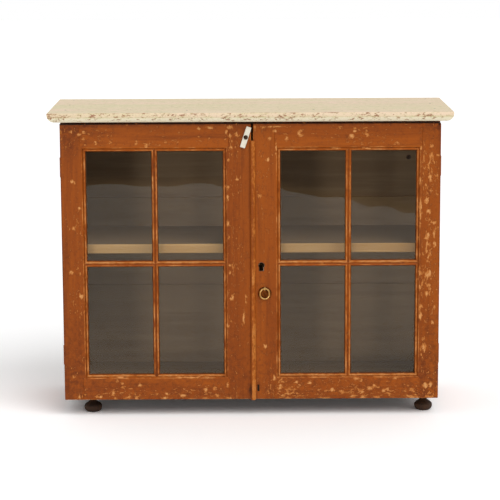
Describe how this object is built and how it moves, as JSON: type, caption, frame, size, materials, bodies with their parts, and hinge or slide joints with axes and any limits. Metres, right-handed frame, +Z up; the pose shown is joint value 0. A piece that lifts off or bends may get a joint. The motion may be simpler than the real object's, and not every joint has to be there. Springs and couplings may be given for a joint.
{
  "type": "display cabinet",
  "caption": "Low glazed display case: painted box on turned bun feet, overhanging top board, inner shelf, and two doors of small panes with lock, ring pull and turn button.",
  "frame": {"origin": "middle of the top board's outline, at the height of the floor under the feet", "axes": "+X to the right seen from the front, +Y from the doors to the back, +Z up"},
  "size_m": [0.806, 0.295, 0.622],
  "materials": {
    "red_paint": "worn red-brown paint over orange softwood, satin",
    "cream_paint": "chipped cream paint over softwood boards",
    "button_paint": "old off-white paint",
    "dark_turned_wood": "dark brown stain, worn at the rim",
    "bare_wood": "unpainted, darkened softwood",
    "glass": "old window glass, slightly wavy",
    "putty": "dried linseed putty, painted",
    "aged_brass": "aged, with dark patina",
    "lock_brass": "dull grey patina",
    "iron": "dark forged iron, dull"
  },
  "bodies": {
    "case": {"top_board_front": "cream_paint", "top_board_rear": "cream_paint", "side_left": "red_paint", "side_right": "red_paint", "bottom_board": "bare_wood", "front_top_rail": "red_paint", "rear_top_rail": "bare_wood", "back_board_lower": "bare_wood", "back_board_middle": "bare_wood", "back_board_upper": "bare_wood", "shelf": "bare_wood", "shelf_battens": "bare_wood", "front_left_foot": "dark_turned_wood", "front_right_foot": "dark_turned_wood", "rear_left_foot": "dark_turned_wood", "rear_right_foot": "dark_turned_wood", "top_nails": "iron", "back_nails": "iron", "carcass_nails": "iron", "case_hinge_leaves": "iron", "hinge_pins": "iron", "case_hinge_screws": "iron", "back_screw": "iron"},
    "left_door": {"left_hinge_stile": "red_paint", "left_meeting_stile": "red_paint", "left_top_rail": "red_paint", "left_bottom_rail": "red_paint", "left_upright_bar": "red_paint", "left_cross_bars": "red_paint", "left_upper_panes": "glass", "left_lower_panes": "glass", "left_putty": "putty", "left_door_hinge_leaves": "iron", "left_door_hinge_screws": "iron", "lock_strike": "aged_brass", "turn_button_screw": "iron", "inner_bolt_plate": "iron", "left_fitting_screws": "iron"},
    "right_door": {"right_hinge_stile": "red_paint", "right_meeting_stile": "red_paint", "right_top_rail": "red_paint", "right_bottom_rail": "red_paint", "right_upright_bar": "red_paint", "right_cross_bars": "red_paint", "right_upper_panes": "glass", "right_lower_panes": "glass", "right_putty": "putty", "right_door_hinge_leaves": "iron", "right_door_hinge_screws": "iron", "meeting_strip": "red_paint", "lock_case": "aged_brass", "keyhole_liner": "lock_brass", "ring_rosette": "aged_brass", "ring_eye": "aged_brass", "right_fitting_screws": "iron"},
    "turn_button": {"turn_button": "button_paint"},
    "inner_bolt": {"inner_bolt": "iron"},
    "lock_bolt": {"lock_bolt": "iron"},
    "ring_pull": {"ring_pull": "aged_brass"}
  },
  "joints": [
    {"name": "left_door_hinge", "type": "hinge", "parent": "case", "child": "left_door", "pos_m": [-0.3804, -0.10425, 0.3165], "axis": [0, 0, -1], "range_deg": [0, 180]},
    {"name": "right_door_hinge", "type": "hinge", "parent": "case", "child": "right_door", "pos_m": [0.3804, -0.10425, 0.3165], "axis": [0, 0, 1], "range_deg": [0, 180]},
    {"name": "turn_button_pivot", "type": "hinge", "parent": "left_door", "child": "turn_button", "pos_m": [-0.0095, -0.1265, 0.5705], "axis": [0, -1, 0], "range_deg": [-72, 18]},
    {"name": "inner_bolt_slide", "type": "slide", "parent": "left_door", "child": "inner_bolt", "axis": [0, 0, -1], "range_m": [0, 0.01]},
    {"name": "lock_bolt_slide", "type": "slide", "parent": "right_door", "child": "lock_bolt", "axis": [-1, 0, 0], "range_m": [0, 0.009]},
    {"name": "ring_swing", "type": "hinge", "parent": "right_door", "child": "ring_pull", "pos_m": [0.0275, -0.1305, 0.264], "axis": [-1, 0, 0], "range_deg": [0, 170]}
  ]
}
